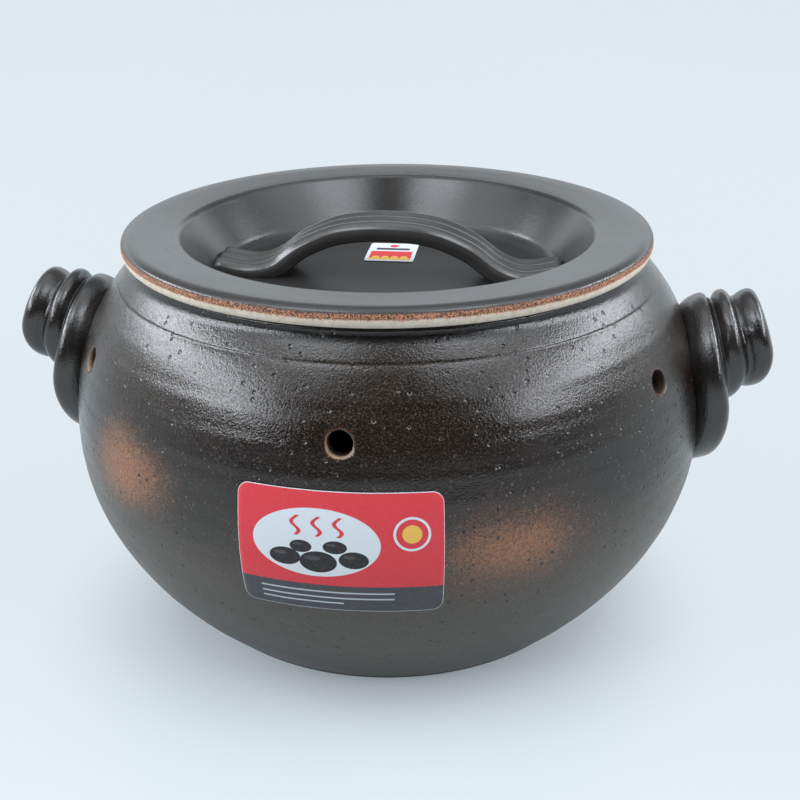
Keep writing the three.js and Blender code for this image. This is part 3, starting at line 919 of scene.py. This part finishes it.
def build_strap(glaze):
    path = strap_path()
    section = strap_section()
    verts = []
    for i, (x, z) in enumerate(path):
        x0, z0 = path[max(i - 1, 0)]
        x1, z1 = path[min(i + 1, len(path) - 1)]
        length = math.hypot(x1 - x0, z1 - z0)
        tx, tz = (x1 - x0) / length, (z1 - z0) / length
        close = max(0, 4 - min(i, len(path) - 1 - i))
        narrow = 1.0 - 0.012 * close
        sunk = 0.12 * close ** 1.5
        for y, depth in section:
            wobble = 0.12 * noise.noise(Vector((x / 9, y / 9, 3.0)))
            d = depth + sunk * (1 if depth < 4 else 0) + wobble
            verts.append((x + tz * d, y * narrow, z - tx * d))
    strap = new_object("lid_strap", verts, tube_faces(len(path), len(section)), [glaze])
    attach(strap, "lid")
    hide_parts("lid_handle")


# Labels

def sheet_spots(width, height, corner):
    """Rows of places on a sheet with round corners, from its lower edge to its upper one."""
    inner = 0.5 * height - corner
    bend = []
    for i in range(SHEET_CORNER_ROWS + 1):
        bend.append(0.5 * height - corner * (1 - math.sin(0.5 * math.pi * i / SHEET_CORNER_ROWS)))
    plain = [inner * (-1 + 2 * i / SHEET_ROWS) for i in range(1, SHEET_ROWS)]
    rows = []
    for v in [-v for v in reversed(bend)] + plain + bend:
        past = max(0.0, abs(v) - inner)
        half = 0.5 * width - corner + math.sqrt(max(corner * corner - past * past, 0.0))
        rows.append([(half * (-1 + 2 * k / SHEET_COLUMNS), v) for k in range(SHEET_COLUMNS + 1)])
    return rows


def sheet(name, width, height, corner, place, material):
    """A thin sheet. place takes millimetres from its middle and the lift off its seat."""
    rows = sheet_spots(width, height, corner)
    spots = [spot for row in rows for spot in row]
    verts = [place(u, v, lift) for lift in (SHEET_TOP, SHEET_UNDER) for u, v in spots]
    under = len(spots)
    across = SHEET_COLUMNS + 1
    numbers = [list(range(i * across, (i + 1) * across)) for i in range(len(rows))]
    faces = []
    for low, high in zip(numbers, numbers[1:]):
        for k in range(SHEET_COLUMNS):
            faces.append((low[k], low[k + 1], high[k + 1], high[k]))
            faces.append((under + low[k], under + high[k], under + high[k + 1], under + low[k + 1]))
    right = [row[-1] for row in numbers[1:]]
    left = [row[0] for row in numbers[-2:0:-1]]
    around = numbers[0] + right + numbers[-1][-2::-1] + left
    for a, b in zip(around, around[1:] + around[:1]):
        faces.append((b, a, under + a, under + b))
    obj = new_object(name, verts, faces, [material])
    layer = obj.data.uv_layers.new(name="UVMap")
    for loop in obj.data.loops:
        layer.data[loop.index].uv = spots[loop.vertex_index % under]
    return obj


def on_belly(u, v, lift):
    """A place on the front of the belly, with the sheet's slight buckles."""
    z = LABEL_CENTRE + v
    angle = u / BELLY_RADIUS - math.pi / 2
    edge = max(abs(u) / (0.5 * LABEL_WIDTH), abs(v) / (0.5 * LABEL_HEIGHT))
    buckle = 0.25 * max(0.0, noise.noise(Vector((u / 13, v / 11, 5.0)))) * edge
    radius = belly_radius(z) + lift + SHEET_STAND_OFF + buckle
    return (radius * math.cos(angle), radius * math.sin(angle), z)


def on_well(u, v, lift):
    """A place on the floor of the lid's well."""
    return (LID_LABEL_PLACE[0] + u, LID_LABEL_PLACE[1] + v, WELL_FLOOR + lift)


def build_labels():
    front = sheet("pot_sticker", LABEL_WIDTH, LABEL_HEIGHT, LABEL_CORNER, on_belly, pot_label_print())
    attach(front, "pot")
    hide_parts("pot_label")
    small = sheet(
        "lid_sticker", LID_LABEL_WIDTH, LID_LABEL_LENGTH, LID_LABEL_CORNER, on_well, lid_label_print())
    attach(small, "lid")
    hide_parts("lid_label")


# Pebbles

def dress_pebbles():
    """The pebbles keep their solids, welded and rounded by subdivision, in four kinds of stone."""
    shades = [
        pebble_stone("pebble_grey", rgb(0.075, 0.074, 0.072), rgb(0.16, 0.158, 0.15)),
        pebble_stone("pebble_brown", rgb(0.085, 0.063, 0.047), rgb(0.17, 0.135, 0.105)),
        pebble_stone("pebble_slate", rgb(0.035, 0.038, 0.041), rgb(0.085, 0.09, 0.092)),
        pebble_stone("pebble_pale", rgb(0.17, 0.16, 0.14), rgb(0.30, 0.285, 0.255)),
    ]
    order = (0, 2, 1, 0, 3, 2, 0, 1)
    names = sorted(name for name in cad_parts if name.startswith("pebble"))
    for i, name in enumerate(names):
        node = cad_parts[name]
        weld = node.modifiers.new("weld", "WELD")
        weld.merge_threshold = 0.05 * MM
        round_off = node.modifiers.new("round", "SUBSURF")
        round_off.levels = PEBBLE_LEVELS
        round_off.render_levels = PEBBLE_LEVELS
        for slot in node.material_slots:
            slot.link = "OBJECT"
            slot.material = shades[order[i % len(order)]]


# Stage

def floor_cloth():
    """Pale cloth: away from the pot the eye sees its plain glowing colour, painted paler towards the
    front, and near the pot its shadow too.
    """
    m, t = new_material("studio_floor")
    where = t.object_space()
    x, y, _ = t.split(where)
    away = t.length(t.times(x, 1.15), t.plus(y, 0.04))
    path = t.add("LightPath")
    seen = t.larger(path.outputs["Is Camera Ray"], path.outputs["Is Glossy Ray"])
    seen = t.larger(seen, path.outputs["Is Transmission Ray"])
    tone = t.mix(t.noise(where, 0.8, 1.0), rgb(0.735, 0.826, 0.876), rgb(0.765, 0.850, 0.895))
    # Painted light: the glow grows paler towards the front.
    tone = t.mix(t.ramp(y, -0.04, -0.22, 0.0, 0.8), tone, rgb(0.83, 0.92, 0.97))
    cloth = t.add("BsdfDiffuse", {"Color": rgb(0.56, 0.598, 0.617), "Roughness": 1.0})
    glow = t.add("Emission", {"Color": tone, "Strength": 1.0})
    plain = t.times(seen, t.ramp(away, 0.085, 0.18, 0.25, 0.95))
    lifted = t.add("MixShader", {0: plain, 1: cloth.outputs[0], 2: glow.outputs[0]})
    t.add("OutputMaterial", {"Surface": lifted.outputs[0]})
    return m


def build_floor():
    size = 9000.0
    corners = [(-size, -size, 0), (size, -size, 0), (size, size, 0), (-size, size, 0)]
    new_object("studio_floor", corners, [(0, 1, 2, 3)], [floor_cloth()])


def build_world():
    """A room: a pale strip low all round, a bright wall low behind the pot, and a ceiling bright at the
    sides and dim over the camera. swing is the angle round from the camera, and rise the angle up."""
    world = bpy.data.worlds.new("room")
    bpy.context.scene.world = world
    t = Tree(world)
    x, y, z = t.split(t.add("TexCoord").outputs["Generated"])
    turn = t.math("ARCTAN2", x, t.times(y, -1.0))
    swing = t.math("ABSOLUTE", t.minus(turn, VIEW_TURN))
    rise = t.math("ARCSINE", z)

    def step(value, low, high, to_low=0.0, to_high=1.0):
        return t.ramp(value, math.radians(low), math.radians(high), to_low, to_high)

    wall = t.times(step(swing, 60, 115), step(rise, 9, 15, 0.75, 1.75))
    wall = t.times(wall, step(rise, 16, 25, 1.0, 0.20))
    behind = t.larger(step(swing, 75, 135, 1.0, 0.16), step(rise, 50, 64, 0.0, 0.75))
    ceiling = t.times(step(swing, 12, 45, 0.12, 1.85), behind)
    ceiling = t.times(ceiling, step(rise, 32, 46))
    strip = t.times(step(swing, 45, 90, 0.28, 0.82), step(rise, 3, 9, 1.0, 0.0))
    level = t.larger(t.larger(t.plus(0.06, wall), ceiling), strip)
    sky = t.add("Background", {"Color": rgb(0.90, 0.975, 1.03), "Strength": level})
    t.add("OutputWorld", {"Surface": sky.outputs[0]})


def build_lamp(name, swing, rise, distance, width, height, glow):
    """A soft box turned to the pot, at angles round from the camera and up from the floor, in metres."""
    data = bpy.data.lights.new(name, "AREA")
    data.shape = "RECTANGLE"
    data.size = width
    data.size_y = height
    data.energy = glow * math.pi * width * height
    data.color = (0.93, 0.98, 1.05)
    turn = VIEW_TURN + math.radians(swing)
    lift = math.radians(rise)
    aim = Vector((0.0, 0.0, 0.1))
    way = Vector((math.sin(turn) * math.cos(lift), -math.cos(turn) * math.cos(lift), math.sin(lift)))
    lamp = bpy.data.objects.new(name, data)
    lamp.location = aim + way * distance
    lamp.rotation_euler = way.to_track_quat("Z", "Y").to_euler()
    bpy.context.scene.collection.objects.link(lamp)


def build_lamps():
    """A long low box at each side, the left one a little brighter, and a smaller one high in front."""
    for side, name in ((1, "right"), (-1, "left")):
        build_lamp("soft_box_" + name, side * 83, 29, 1.3, 1.70, 0.24, 11.0 - side)
        build_lamp("top_box_" + name, side * 46, 63, 1.2, 0.50, 0.32, 4.0)


def build_camera():
    """The photograph's view."""
    level = math.cos(VIEW_PITCH)
    ahead = Vector((math.sin(VIEW_YAW) * level, math.cos(VIEW_YAW) * level, -math.sin(VIEW_PITCH)))
    across = Vector((math.cos(VIEW_YAW), -math.sin(VIEW_YAW), 0.0))
    above = across.cross(ahead)
    right = math.cos(VIEW_ROLL) * across + math.sin(VIEW_ROLL) * above
    up = -math.sin(VIEW_ROLL) * across + math.cos(VIEW_ROLL) * above
    place = Matrix((
        (right.x, up.x, -ahead.x, 0.0),
        (right.y, up.y, -ahead.y, -VIEW_BACK * MM),
        (right.z, up.z, -ahead.z, VIEW_UP * MM),
        (0.0, 0.0, 0.0, 1.0)))
    data = bpy.data.cameras.new("view")
    data.sensor_fit = "HORIZONTAL"
    data.sensor_width = SENSOR_WIDTH
    data.lens = SENSOR_WIDTH * VIEW_FOCAL / VIEW_FRAME
    data.clip_start = 0.01
    camera = bpy.data.objects.new("view", data)
    camera.matrix_world = Matrix.Rotation(VIEW_TURN, 4, "Z") @ place
    bpy.context.scene.collection.objects.link(camera)
    bpy.context.scene.camera = camera


build_camera()
build_world()
build_lamps()
build_floor()
build_pot(pot_glaze(), bare_clay())
lug_material = lug_glaze()
build_lug("lug_right", 1, lug_material)
build_lug("lug_left", -1, lug_material)
build_lid(lid_glaze())
build_strap(strap_glaze_with_painted_sheen())
build_labels()
dress_pebbles()
bpy.context.scene.view_settings.view_transform = "Standard"
